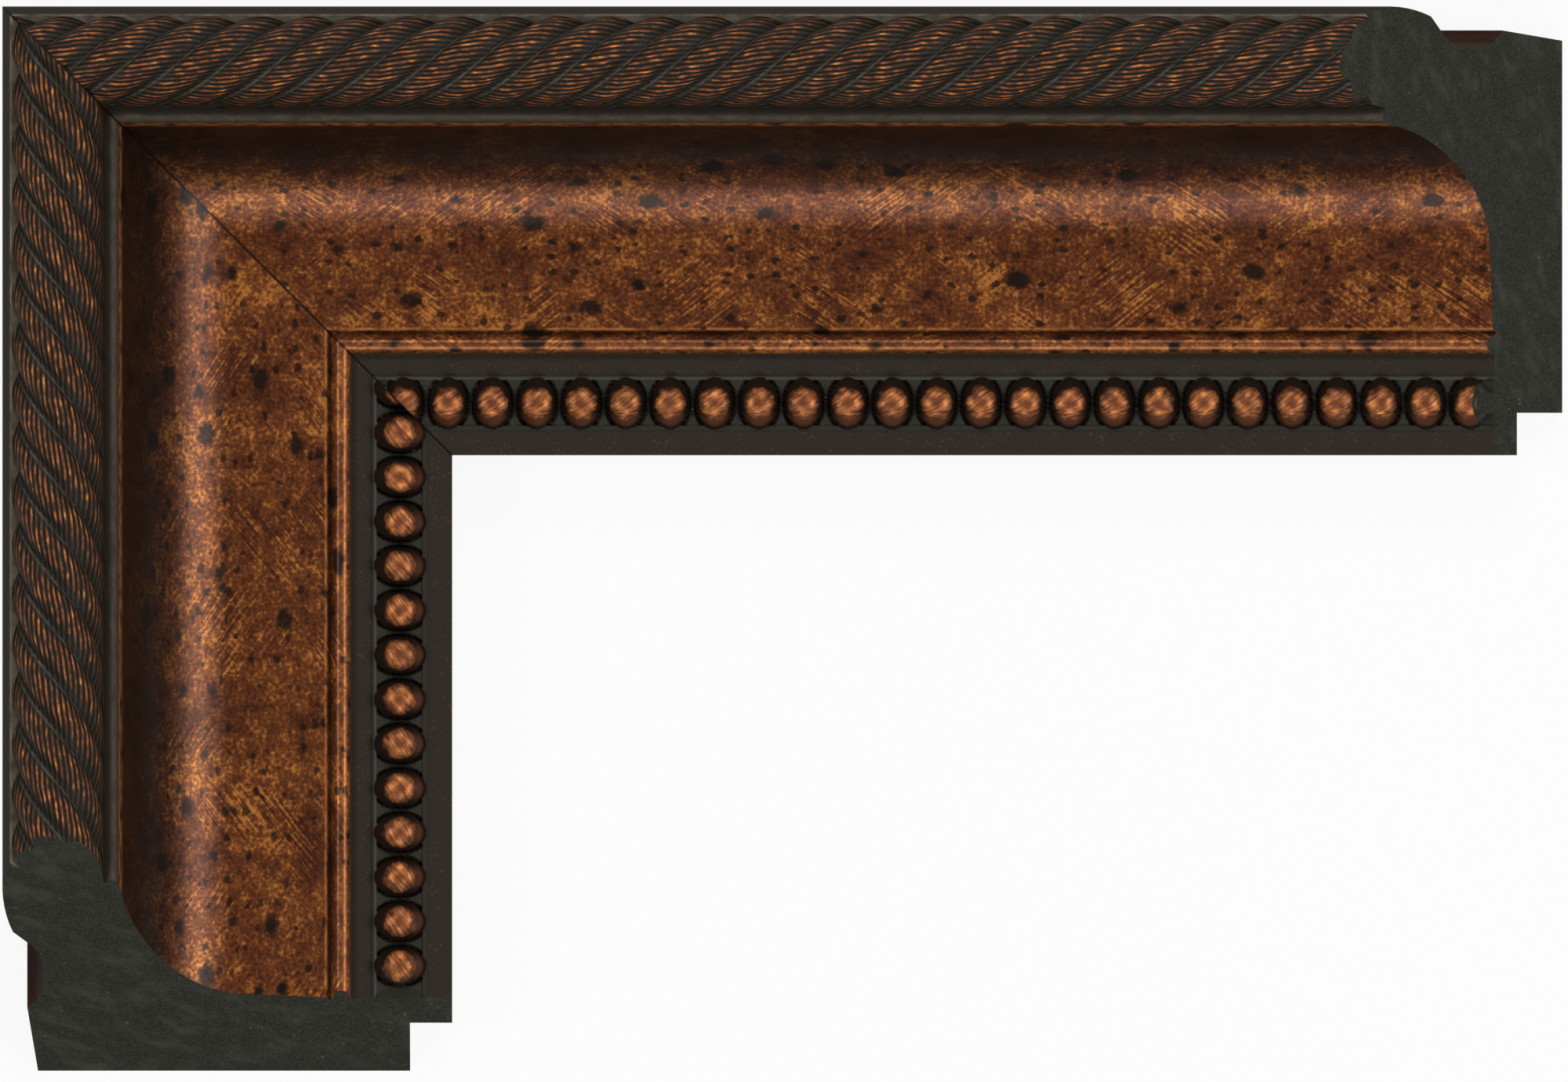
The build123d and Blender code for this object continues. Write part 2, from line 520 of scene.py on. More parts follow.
@dataclass(frozen=True)
class CopperLeaf(Finish):
    """Rubbed copper leaf over red-brown on the cove, the panel and the small round.

    Each layer of specks has its fineness per millimetre and its strength.
    """

    name: str = "copper leaf"
    roughness: float = 0.33
    gloss: float = 0.2
    metal: float = 0.3
    brown: Colour = linear(70, 34, 21)
    copper: Colour = linear(131, 74, 37)
    gold: Colour = linear(204, 132, 60)
    worn: Colour = linear(184, 116, 66)
    # black serves both the painted shade of the cove and the dark specks
    black: Colour = linear(27, 20, 16)
    gold_share: float = 0.8
    painted_shade_share: float = 0.93
    speck_layers: tuple[Point, ...] = ((0.16, 0.92), (0.432, 0.82))

    def pattern(self, bench: NodeBench, effects: SharedEffects) -> dict[str, Socket]:
        """Brushed leaf with gold flecks, painted shade in black down the top of the cove, pale worn edges
        and dark specks.

        Args:
            bench: the bench on the material's nodes.
            effects: the shared node groups.

        Returns:
            The colour.
        """
        place = bench.skin_place()
        leaf, flecks = effects.place_strokes(bench, place)
        colour = bench.mix(leaf, self.brown, self.copper)
        colour = bench.mix(bench.times(flecks, self.gold_share), colour, self.gold)
        # Painted shade: black eases in down the steep top of the cove and at its arris
        painted_cove_shade = bench.times(bench.attribute("shade"), self.painted_shade_share)
        colour = bench.mix(painted_cove_shade, colour, self.black)
        breakup = bench.streaks(place, turn=0.0, stretch=(0.5, 1.0), detail=4.0)
        breakup = bench.ramp(breakup, low=0.35, high=0.62, floor=0.2)
        colour = bench.mix(bench.times(bench.attribute("wear"), breakup), colour, self.worn)
        for fineness, strength in self.speck_layers:
            specks = effects.place_specks(bench, place, fineness)
            colour = bench.mix(bench.times(specks, strength), colour, self.black)
        return {"Base Color": effects.close_mitre(bench, colour)}


@dataclass(frozen=True)
class BeadFinish(Finish):
    """Dark channel with beads rubbed back to copper and gold on their caps, the gold laid as a painted
    highlight ring.
    """

    name: str = "rubbed beads"
    roughness: float = 0.36
    gloss: float = 0.15
    metal: float = 0.25
    # channel is the black of the channel, darkened as painted shade in the pockets and on the beads' flanks
    channel: Colour = linear(38, 28, 23)
    web: Colour = linear(56, 53, 47)
    # grey is the colour of the painted highlight on the fillet
    grey: Colour = linear(86, 86, 78)
    # flank is the brown of the painted light on the flank nearest the sight edge
    flank: Colour = linear(86, 49, 30)
    copper: Colour = linear(116, 64, 44)
    gold: Colour = linear(220, 138, 72)
    charcoal: Colour = linear(49, 49, 43)
    grey_share: float = 0.8
    raggedness: float = 0.7
    mottle_share: float = 0.8

    def pattern(self, bench: NodeBench, effects: SharedEffects) -> dict[str, Socket]:
        """Painted shade in the pockets, painted light in brown on the flank nearest the sight edge, a lit
        cap with a painted highlight ring of gold, and the end's paint.

        Args:
            bench: the bench on the material's nodes.
            effects: the shared node groups.

        Returns:
            The colour.
        """
        place = bench.skin_place()
        dome = bench.attribute("dome")
        level = bench.math("SUBTRACT", dome, self.raggedness / 2)
        ragged = bench.plus(level, bench.noise(place, scale=0.7, detail=3.0), self.raggedness)
        cap = bench.ramp(ragged, low=0.34, high=0.8)
        # Painted shade: the beads' flanks and the pockets around them take the dark channel colour, darker
        # than the webs
        colour = bench.mix(bench.attribute("web"), self.channel, self.web)
        # Painted highlight: grey along the fillet
        glint = bench.times(bench.attribute("glint"), self.grey_share)
        colour = bench.mix(glint, colour, self.grey)
        # Painted light: brown on the flank nearest the sight edge
        near_sight = bench.ramp(bench.attribute("flank"), low=0.3, high=0.6)
        near_sight = bench.times(near_sight, bench.ramp(dome, low=0.04, high=0.2))
        colour = bench.mix(near_sight, colour, self.flank)
        # The cap is rubbed back to copper, and its lighter colour is also painted light on the top that
        # faces up
        colour = bench.mix(cap, colour, self.copper)
        strokes = bench.streaks(place, turn=38.0, stretch=(0.4, 2.6))
        blots = bench.noise(place, scale=0.6, detail=3.0, roughness=0.6)
        mottle = bench.ramp(bench.plus(strokes, blots, self.mottle_share), low=0.7, high=1.15)
        # Painted highlight: gold mottle in a ring around the cap, thinner on the crown
        ring = bench.times(bench.ramp(dome, low=0.97, high=0.74, floor=0.1, top=0.85), cap)
        colour = bench.mix(bench.times(mottle, ring), colour, self.gold)
        painted = bench.ramp(bench.attribute("painted"), low=-0.12, high=0.12)
        colour = bench.mix(painted, colour, self.charcoal)
        return {"Base Color": effects.close_mitre(bench, colour)}


@dataclass(frozen=True)
class SawnEnd(Finish):
    """Matte charcoal paint on the sawn ends, with the saw's marks under it."""

    name: str = "painted sawn end"
    roughness: float = 0.8
    gloss: float = 0.08
    charcoal: Colour = linear(41, 41, 35)
    rubbed: Colour = linear(74, 74, 65)
    pale: Colour = linear(104, 98, 84)
    grain_share: float = 0.5
    smear_share: float = 0.6

    def pattern(self, bench: NodeBench, effects: SharedEffects) -> dict[str, Socket]:
        """Fine grain, faint smears across the cut and a few pale specks.

        Args:
            bench: the bench on the material's nodes.
            effects: the shared node groups, not used here.

        Returns:
            The colour.
        """
        place = bench.in_mm(bench.add("TexCoord").outputs["Object"])
        grain = bench.noise(place, scale=2.8, detail=4.0, roughness=0.6)
        grain = bench.times(bench.ramp(grain, low=0.35, high=0.7), self.grain_share)
        smears = bench.streaks(place, 38.0, (0.2, 0.8), scale=0.4, detail=5.0, roughness=0.6)
        smears = bench.times(bench.ramp(smears, low=0.45, high=0.75), self.smear_share)
        colour = bench.mix(grain, self.charcoal, self.rubbed)
        colour = bench.mix(smears, colour, self.rubbed)
        specks = bench.ramp(bench.noise(place, scale=1.6, detail=1.0), low=0.72, high=0.82)
        return {"Base Color": bench.mix(specks, colour, self.pale)}


FINISHES = {
    Zone.BARE_WOOD: BareWood(),
    Zone.LACQUER: BlackLacquer(),
    Zone.ROPE: RopeFinish(),
    Zone.COPPER: CopperLeaf(),
    Zone.BEADS: BeadFinish(),
    Zone.SAWN_END: SawnEnd(),
    Zone.SIDE_STAIN: SideStain(),
}


@dataclass
class Outline:
    """The points around the section, each with the finish of the strip that starts at it."""

    inset: list[float] = field(default_factory=list)
    height: list[float] = field(default_factory=list)
    zone: list[int] = field(default_factory=list)

    def line(self, zone: Zone, start: Point, end: Point, steps: int = 1) -> None:
        """Adds a straight stretch, without its last point."""
        self.curve(zone, start, end, 0.0, steps)

    def curve(self, zone: Zone, start: Point, end: Point, bow: float, steps: int) -> None:
        """Adds a bowed stretch, without its last point.

        The points lie on the arc through both ends whose middle is bow away from the chord,
        to the left of the way from start to end. A bow of zero gives a straight line.

        Args:
            zone: the finish of the stretch.
            start: inset and height of its first point.
            end: inset and height where the next stretch starts.
            bow: height of the arc over its chord.
            steps: the number of points.
        """
        share = np.arange(steps) / steps
        first, last = np.array(start), np.array(end)
        chord = last - first
        length = np.hypot(*chord)
        left = np.array([-chord[1], chord[0]]) / length
        if bow == 0.0:
            points = first + share[:, None] * chord
        else:
            radius = (length**2 / 4 + bow**2) / (2 * bow)
            half = 2 * np.arctan2(2 * bow, length)
            angle = (2 * share - 1) * half
            across = radius * np.sin(angle)
            rise = radius * np.cos(angle) - (radius - bow)
            points = (first + last) / 2 + across[:, None] * chord / length + rise[:, None] * left
        self.inset.extend(points[:, 0])
        self.height.extend(points[:, 1])
        self.zone.extend([zone.value] * steps)


@dataclass(frozen=True)
class Peak:
    """A soft peak across the moulding, such as the rubbing of an edge, a painted shade or a painted
    highlight.
    """

    inset: float
    reach: float
    top: float


def heap(peaks: tuple[Peak, ...], inset: np.ndarray) -> np.ndarray:
    """Adds up peaks, each its top times a bell curve of the distance over its reach.

    Args:
        peaks: the peaks.
        inset: places across the moulding.

    Returns:
        The sum at those places, at most 1.
    """
    bells = (peak.top * np.exp(-(((inset - peak.inset) / peak.reach) ** 2)) for peak in peaks)
    return np.clip(sum(bells), 0, 1)


@dataclass
class MouldingSection:
    """The section of the moulding and the patterns that are raised out of it, in millimetres.

    A fall is measured down from the rope's bed, and a rise up from the level that it stands on.
    """

    width: float
    height: float
    back_inset: float = 4.7
    side_inset: float = 3.3
    groove_low: float = 9.4
    groove_high: float = 19.1
    groove_depth: float = 2.9
    shoulder_inset: float = 1.4
    shoulder_height: float = 20.5
    shoulder_bulge: float = 0.35
    rim_height: float = 26.7
    rim_width: float = 1.1
    rim_rise: float = 3.9
    rim_edge_width: float = 0.45
    rim_edge_drop: float = 0.4
    rim_edge_bow: float = 0.15
    rope_inset: float = 8.1
    rope_radius: float = 6.9
    rope_bed_height: float = 29.4
    rope_overlap: float = 0.1
    strand_count: int = 6
    strand_pitch: float = 7.406
    strand_radius: float = 3.1
    valley_width: float = 0.2
    valley_fall: float = 1.7
    step_inset: float = 17.6
    step_fall: float = 2.8
    ledge_width: float = 1.9
    ledge_fall: float = 1.6
    ledge_bow: float = 0.3
    arris_width: float = 0.25
    arris_fall: float = 1.75
    cove_end: float = 33.6
    cove_bow: float = 3.3
    panel_end: float = 48.0
    panel_height: float = 10.85
    panel_rise: float = 0.65
    panel_edge_width: float = 0.5
    panel_edge_rise: float = 0.02
    quirk_width: float = 0.9
    quirk_depth: float = 0.6
    round_width: float = 2.6
    round_rise: float = 1.0
    band_height: float = 10.6
    fillet_inset: float = 54.8
    fillet_width: float = 0.8
    fillet_rise: float = 0.3
    fillet_slant: float = 0.05
    bead_inset: float = 58.95
    bead_pitch: float = 6.628
    bead_across: float = 7.8
    bead_along: float = 5.7
    bead_cap: float = 4.6
    bead_shoulder: float = 2.1
    bead_rise: float = 2.9
    crown_power: float = 2.5
    pocket_depth: float = 0.7
    pocket_reach: float = 1.16
    pocket_edge: float = 0.12
    web_start: float = 1.02
    rabbet_width: float = 6.35
    rabbet_depth: float = 7.1

    def outline(self) -> tuple[Outline, slice, slice]:
        """Walks once around the section, from the back's outside edge over the top.

        Returns:
            The outline, the columns of the rope and the columns of the bead channel.
        """
        walk = Outline()
        heel_out = (self.back_inset, 0.0)
        foot = (self.side_inset, self.groove_low)
        neck = (self.side_inset, self.groove_high)
        shoulder = (self.shoulder_inset, self.shoulder_height)
        rim = (0.0, self.rim_height)
        rim_top = (self.rim_width, self.rim_height + self.rim_rise)
        rope_start = (rim_top[0] + self.rim_edge_width, rim_top[1] - self.rim_edge_drop)
        walk.line(Zone.SIDE_STAIN, heel_out, foot, steps=3)
        walk.curve(Zone.SIDE_STAIN, foot, neck, -self.groove_depth, steps=10)
        walk.line(Zone.SIDE_STAIN, neck, shoulder)
        walk.curve(Zone.SIDE_STAIN, shoulder, rim, self.shoulder_bulge, steps=5)
        walk.line(Zone.LACQUER, rim, rim_top, steps=3)
        walk.curve(Zone.LACQUER, rim_top, rope_start, self.rim_edge_bow, steps=4)
        first_rope = len(walk.inset)
        bed = self.rope_bed_height
        rope_end = (self.rope_inset + self.rope_radius - self.rope_overlap, bed)
        walk.line(Zone.ROPE, rope_start, rope_end, steps=52)
        rope_columns = slice(first_rope, len(walk.inset))
        valley = (rope_end[0] + self.valley_width, bed - self.valley_fall)
        ledge = (self.step_inset - self.ledge_width, bed - self.ledge_fall)
        arris = (self.step_inset - self.arris_width, bed - self.arris_fall)
        cove_top = (self.step_inset, bed - self.step_fall)
        cove_foot = (self.cove_end, self.panel_height + self.panel_rise)
        walk.line(Zone.LACQUER, valley, ledge, steps=2)
        walk.curve(Zone.LACQUER, ledge, arris, self.ledge_bow, steps=7)
        walk.line(Zone.COPPER, arris, cove_top, steps=2)
        walk.curve(Zone.COPPER, cove_top, cove_foot, -self.cove_bow, steps=20)
        panel_end = (self.panel_end, self.panel_height)
        panel_edge = (self.panel_end - self.panel_edge_width, self.panel_height + self.panel_edge_rise)
        quirk = (self.panel_end + self.quirk_width / 2, self.panel_height - self.quirk_depth)
        round_start = (self.panel_end + self.quirk_width, self.panel_height)
        round_end = (round_start[0] + self.round_width, self.panel_height)
        walk.line(Zone.COPPER, cove_foot, panel_edge, steps=14)
        walk.line(Zone.COPPER, panel_edge, panel_end, steps=4)
        walk.line(Zone.COPPER, panel_end, quirk, steps=3)
        walk.line(Zone.COPPER, quirk, round_start, steps=3)
        walk.curve(Zone.COPPER, round_start, round_end, self.round_rise, steps=9)
        band = (round_end[0] + self.quirk_width / 2, self.band_height)
        band_clear = (band[0] + self.quirk_width, self.band_height)
        fillet = (self.fillet_inset, self.band_height)
        walk.line(Zone.LACQUER, round_end, band, steps=4)
        walk.line(Zone.LACQUER, band, band_clear, steps=4)
        walk.line(Zone.LACQUER, band_clear, fillet, steps=2)
        first_bead = len(walk.inset)
        fillet_top = self.band_height + self.fillet_rise
        channel_start = self.fillet_inset + self.fillet_width
        channel_end = 2 * self.bead_inset - self.fillet_inset - self.fillet_width
        fillet_left = (self.fillet_inset + self.fillet_slant, fillet_top)
        fillet_right = (channel_start - self.fillet_slant, fillet_top)
        sight_start = (channel_end + self.fillet_slant, self.panel_height)
        sight_clear = (channel_end + self.fillet_width, self.panel_height)
        walk.line(Zone.BEADS, fillet, fillet_left)
        walk.line(Zone.BEADS, fillet_left, fillet_right, steps=5)
        walk.line(Zone.BEADS, (channel_start, self.band_height), (channel_end, self.band_height), steps=34)
        walk.line(Zone.BEADS, sight_start, sight_clear, steps=5)
        bead_columns = slice(first_bead, len(walk.inset))
        sight = (self.width, self.panel_height)
        lip = (self.width, self.rabbet_depth)
        seat = (self.width - self.rabbet_width, self.rabbet_depth)
        heel_in = (self.width - self.rabbet_width, 0.0)
        walk.line(Zone.LACQUER, sight_clear, sight, steps=4)
        walk.line(Zone.LACQUER, sight, lip, steps=2)
        walk.line(Zone.BARE_WOOD, lip, seat, steps=2)
        walk.line(Zone.BARE_WOOD, seat, heel_in, steps=2)
        walk.line(Zone.BARE_WOOD, heel_in, heel_out, steps=2)
        return walk, rope_columns, bead_columns

    def wear(self, inset: np.ndarray) -> np.ndarray:
        """How far the finish is rubbed off at each arris of the top.

        Args:
            inset: places across the moulding.

        Returns:
            The rubbing at those places, from 0 to 1.
        """
        step = Peak(inset=self.step_inset - 0.1, reach=0.22, top=0.9)
        panel = Peak(inset=self.panel_end - 0.12, reach=0.2, top=1.0)
        small_round = Peak(inset=self.panel_end + 2.7, reach=0.5, top=0.6)
        return heap((step, panel, small_round), inset)

    def shade(self, inset: np.ndarray) -> np.ndarray:
        """Painted shade: darkness on the rim's outer face, beside the rope, in both quirks and down the
        cove.

        Down the cove the painted shade eases out from its full depth at fade_start to none at fade_end.

        Args:
            inset: places across the moulding.

        Returns:
            The depth of the painted shade at those places, from 0 to 1.
        """
        # Painted shade in the valley beside the rope and in both quirks, where those recesses fall dark
        valley = Peak(inset=self.rope_inset + self.rope_radius, reach=0.7, top=1.0)
        outer_quirk = Peak(inset=self.panel_end + 0.5, reach=0.38, top=0.7)
        inner_quirk = Peak(inset=self.panel_end + 4.05, reach=0.42, top=0.7)
        fade_start = self.step_inset + 3.5
        fade_end = self.step_inset + 12.0
        down = np.clip((inset - fade_start) / (fade_end - fade_start), 0, 1)
        # Painted shade on the steep top of the cove, where little light falls
        cove = (1 - down**2 * (3 - 2 * down)) * (inset > self.step_inset - 0.3)
        # Painted shade on the rim's steep outer face
        rim = 0.7 * (inset < self.rim_width + 0.05)
        return np.clip(cove + rim + heap((valley, outer_quirk, inner_quirk), inset), 0, 1)

    def glint(self, inset: np.ndarray) -> np.ndarray:
        """Painted highlight: grey where an edge catches the light, on the top of the rim, the ledge and the
        fillet.

        Args:
            inset: places across the moulding.

        Returns:
            The share of painted grey highlight at those places, from 0 to 1.
        """
        rim = Peak(inset=self.rim_width + 0.3, reach=0.2, top=1.0)
        ledge = Peak(inset=self.step_inset - 1.1, reach=0.5, top=0.26)
        fillet = Peak(inset=self.fillet_inset + 0.55, reach=0.22, top=1.0)
        return heap((rim, ledge, fillet), inset)


@dataclass
class Rail:
    """One length of the moulding, from the mitre to its sloped sawn end.

    Angles are in degrees. The phases are the places of one groove on top of the rope and of the
    middle of one bead, and the paint of the sawn end laps over the last bead by paint_lap.
    """

    node: str
    run: Run
    section: MouldingSection
    corner: Point
    leg: float
    end_slope: float
    rope_phase: float
    bead_phase: float
    paint_lap: float
    # The share of painted light on the beads' flank nearest the sight edge
    painted_flank_light: float
    row_step: float = 0.49
    rope_outer_angle: float = 71.0
    rope_inner_angle: float = 78.0
    rub_reach: float = 70.0
    paint_edge: float = 0.5
    mitre_passes: int = 12
    search_step: float = 0.05
    search_margin: float = 0.5
    sharp_angle: float = 38.0

    @property
    def end_draw(self) -> float:
        """How far the sloped end draws back for each millimetre of height."""
        return float(np.tan(np.radians(self.end_slope)))

    @property
    def band_end(self) -> float:
        """Where the sloped end cuts the band beside the beads."""
        return self.leg - self.end_draw * self.section.band_height

    def rope(self, along: np.ndarray, columns: int) -> dict[str, np.ndarray]:
        """Shapes the rope.

        A column is an angle around the rope's axis. The strands are circles around that axis,
        turned steadily along the rail, and the radius at an angle is where a ray leaves the
        circle of its strand: offset times the cosine of the angle from the strand's middle,
        plus the rest of the strand's own radius.

        Args:
            along: places along the rail, a row for each cut and a column for each angle.
            columns: the number of angles.

        Returns:
            inset, height, twist (the number of the strand, growing away from its edge near the
            corner) and rub (1 on top of the rope, falling with the fourth power of the angle).
        """
        size = self.section
        degrees = np.linspace(-self.rope_outer_angle, self.rope_inner_angle, columns)
        angle = np.radians(degrees)[None, :]
        lead = size.strand_count * size.strand_pitch
        turned = angle + self.run.value * 2 * np.pi * (along - self.rope_phase) / lead
        strand = turned * size.strand_count / (2 * np.pi)
        share = strand - np.floor(strand)
        aside = (share - 0.5) * 2 * np.pi / size.strand_count
        offset = size.rope_radius - size.strand_radius
        rest = np.sqrt(size.strand_radius**2 - (offset * np.sin(aside)) ** 2)
        radius = offset * np.cos(aside) + rest
        rub = np.exp(-((angle / np.radians(self.rub_reach)) ** 4))
        return {
            "inset": size.rope_inset + radius * np.sin(angle),
            "height": size.height - size.rope_radius + radius * np.cos(angle),
            "twist": self.run.value * strand,
            "rub": np.broadcast_to(rub, strand.shape),
        }

    def beads(self, along: np.ndarray, inset: np.ndarray, plain: np.ndarray) -> dict[str, np.ndarray]:
        """Shapes the bead channel.

        A bead has an oval foot, a round cap and steep rounded flanks between them. On a flank the
        height climbs with the square root of the way from the foot's edge, as a share of the way on
        to the cap's edge. On the cap it goes on to the crown, less the distance from the middle to a
        power above two, so that the top is flat and the edge soft. Around each foot the channel is
        dished, up to the paint of the end. A bead whose middle lies past the sloped end is left off.

        Args:
            along: places along the rail.
            inset: places across the moulding.
            plain: heights without beads.

        Returns:
            height, dome (0 at a foot, a half at a cap's edge, 1 on a crown), flank (painted light on the
            foot nearest the sight edge, by a share for each rail) and web (0 in the pockets around the
            beads).
        """
        size = self.section
        half_pitch = size.bead_pitch / 2
        from_bead = (along - self.bead_phase + half_pitch) % size.bead_pitch - half_pitch
        from_bead = np.where(along - from_bead < self.band_end, from_bead, size.bead_pitch)
        aside = inset - size.bead_inset
        foot = np.hypot(2 * from_bead / size.bead_along, 2 * aside / size.bead_across)
        cap = 2 * np.hypot(from_bead, aside) / size.bead_cap
        inside = np.clip(1 - foot, 0, None)
        climb = np.where(cap > 1, inside / (inside + np.clip(cap - 1, TINY, None)), 1)
        crown = 1 - np.clip(cap, 0, 1) ** size.crown_power
        rise = size.bead_shoulder * np.sqrt(climb) + (size.bead_rise - size.bead_shoulder) * crown
        channel = plain < size.band_height + size.fillet_rise / 2
        bare = np.clip(-self.painted(along, inset) / self.paint_edge, 0, 1)
        pocket = np.clip((size.pocket_reach - foot) / size.pocket_edge, 0, 1) * channel * bare
        floor = plain - size.pocket_depth * pocket
        # Painted light on the flank nearest the sight edge, rising towards it
        flank = self.painted_flank_light * np.clip(2 * aside / size.bead_across, 0, 1)
        on_bead = foot < 1
        return {
            "height": np.where(on_bead, np.maximum(size.band_height + rise, floor), floor),
            "dome": np.where(on_bead, 0.5 * climb + 0.5 * np.clip(1 - cap, 0, 1), 0),
            "flank": np.where(on_bead, flank, 0),
            "web": np.where(foot < size.web_start, 0, 1 - pocket),
        }

    def surface(self, along: np.ndarray) -> dict[str, np.ndarray]:
        """Raises the rope and the beads out of the plain section.

        Args:
            along: places along the rail, one column for each point around the section.

        Returns:
            inset, height and the values of the rope and the beads at those places.
        """
        walk, rope_columns, bead_columns = self.section.outline()
        inset = np.broadcast_to(walk.inset, along.shape).copy()
        height = np.broadcast_to(walk.height, along.shape).copy()
        rope = self.rope(along[:, rope_columns], rope_columns.stop - rope_columns.start)
        beads = self.beads(along[:, bead_columns], inset[:, bead_columns], height[:, bead_columns])
        found = {name: np.zeros_like(inset) for name in (*rope, *beads)}
        found |= {"inset": inset, "height": height}
        for columns, shaped in ((rope_columns, rope), (bead_columns, beads)):
            for name, values in shaped.items():
                found[name][:, columns] = values
        # The rope's last strip ends at a column of the step, which takes on its twist
        found["twist"][:, rope_columns.stop] = rope["twist"][:, -1]
        return found

    def ends(self) -> tuple[np.ndarray, np.ndarray]:
        """Finds where each column meets the saw.

        At the mitre the place along equals the inset. The sloped end draws back with height, so
        a column ends at the first place where place plus height times the slope reaches the leg.
        The beads are left out here, because they are cut later.

        Returns:
            The first and the last place along of each column.
        """
        walk, _, bead_columns = self.section.outline()
        columns = len(walk.inset)
        start = np.zeros((1, columns))
        for _ in range(self.mitre_passes):
            start = self.surface(start)["inset"]
        places = np.arange(0, self.leg + self.search_margin, self.search_step)
        height = self.surface(np.repeat(places[:, None], columns, axis=1))["height"]
        height[:, bead_columns] = walk.height[bead_columns]
        past = places[:, None] + self.end_draw * height - self.leg
        first = np.maximum(np.argmax(past >= 0, axis=0), 1)
        after = np.take_along_axis(past, first[None, :], axis=0)[0]
        before = np.take_along_axis(past, (first - 1)[None, :], axis=0)[0]
        return start[0], places[first] - self.search_step * after / (after - before)

    def saw(self, along: np.ndarray, height: np.ndarray) -> tuple[np.ndarray, np.ndarray, np.ndarray]:
        """Cuts the beads that reach past the sloped end.

        After the first row of a column that is past the end, the height only falls, and the
        place along is drawn back to the end's slope at that height.

        Args:
            along: places along the rail.
            height: heights at those places.

        Returns:
            The new places, the new heights and where the points lie on the cut.
        """
        past = np.maximum.accumulate(along + self.end_draw * height > self.leg + TINY, axis=0)
        first = np.argmax(past, axis=0)
        crossing = np.take_along_axis(height, np.maximum(first - 1, 0)[None, :], axis=0)
        low = np.minimum.accumulate(np.where(past, np.minimum(height, crossing), np.inf), axis=0)
        height = np.where(past, low, height)
        return np.where(past, self.leg - self.end_draw * height, along), height, past

    def painted(self, along: np.ndarray, inset: np.ndarray) -> np.ndarray:
        """How far the end's paint laps over the last bead.

        The paint reaches back from the cut by a share of the lap that follows a half ellipse
        across the bead, so that it ends in a round tongue.

        Args:
            along: places along the rail.
            inset: places across the moulding.

        Returns:
            Millimetres past the edge of the paint, negative where there is none.
        """
        size = self.section
        across = np.clip(2 * (inset - size.bead_inset) / size.bead_across, -1, 1)
        return along - self.band_end + self.paint_lap * np.sqrt(1 - across**2)

    def skin(self) -> dict[str, np.ndarray]:
        """Carries the section along the rail.

        Each row runs around the section and each column along the rail in even steps, from the
        mitre to the sloped end.

        Returns:
            along, inset and height of every point, the zones of the columns and the skin's values.
        """
        walk, _, _ = self.section.outline()
        start, end = self.ends()
        share = np.linspace(0, 1, int(self.leg / self.row_step))[:, None]
        along = start + share * (end - start)
        found = self.surface(along)
        found["painted"] = self.painted(along, found["inset"])
        along, found["height"], sawn = self.saw(along, found["height"])
        found["from_mitre"] = along - found["inset"]
        plain = np.array(walk.inset)
        on_top = np.array(walk.height) > self.section.rabbet_depth
        # wear is rubbing of the finish; shade is painted shade and glint a painted highlight
        rubbed = {"wear": self.section.wear, "shade": self.section.shade, "glint": self.section.glint}
        for name, strength in rubbed.items():
            found[name] = np.broadcast_to(strength(plain) * on_top, along.shape)
        # The painted highlight of the fillet is kept off the beads
        found["glint"] = found["glint"] * (found["dome"] == 0)
        return {"along": along, "sawn": sawn, "zone": np.array(walk.zone), **found}

    def build(self) -> bpy.types.Object:
        """Makes the rail's closed mesh.

        The rows and columns become four-sided faces, the columns closing into a ring, and each
        end is one flat face.

        Returns:
            The object, at the origin, with its place in its mesh.
        """
        skin = self.skin()
        rows, columns = skin["along"].shape
        if self.run is Run.RIGHT:
            flat = (self.corner[0] + skin["along"], self.corner[1] - skin["inset"])
        else:
            flat = (self.corner[0] + skin["inset"], self.corner[1] - skin["along"])
        points = np.stack([*flat, skin["height"]], axis=-1).reshape(-1, 3) * MM
        index = np.arange(rows * columns).reshape(rows, columns)
        after = np.roll(index, -1, axis=1)
        quads = np.stack([index[:-1], after[:-1], after[1:], index[1:]], axis=-1).reshape(-1, 4)
        ends = [index[0][::-1], index[-1]]
        if self.run is Run.DOWN:
            quads = quads[:, ::-1]
            ends = [end[::-1] for end in ends]
        mesh = bpy.data.meshes.new(self.node + "_skin")
        mesh.from_pydata(points.tolist(), [], quads.tolist() + [end.tolist() for end in ends])
        cut = (skin["sawn"] & np.roll(skin["sawn"], -1, axis=1))[:-1]
        strips = np.where(cut, Zone.SAWN_END.value, skin["zone"]).ravel()
        zones = np.append(strips, [Zone.BARE_WOOD.value, Zone.SAWN_END.value])
        mesh.polygons.foreach_set("material_index", zones.astype(np.int32))
        values = ("twist", "rub", "dome", "flank", "web", "wear", "shade", "glint", "from_mitre", "painted")
        for name in values:
            mesh.attributes.new(name, "FLOAT", "POINT").data.foreach_set("value", skin[name].ravel())
        self.lay_out(mesh, skin)
        mesh.shade_smooth()
        mesh.set_sharp_from_angle(angle=np.radians(self.sharp_angle))
        piece = bpy.data.objects.new(self.node + "_skin", mesh)
        bpy.context.scene.collection.objects.link(piece)
        return piece

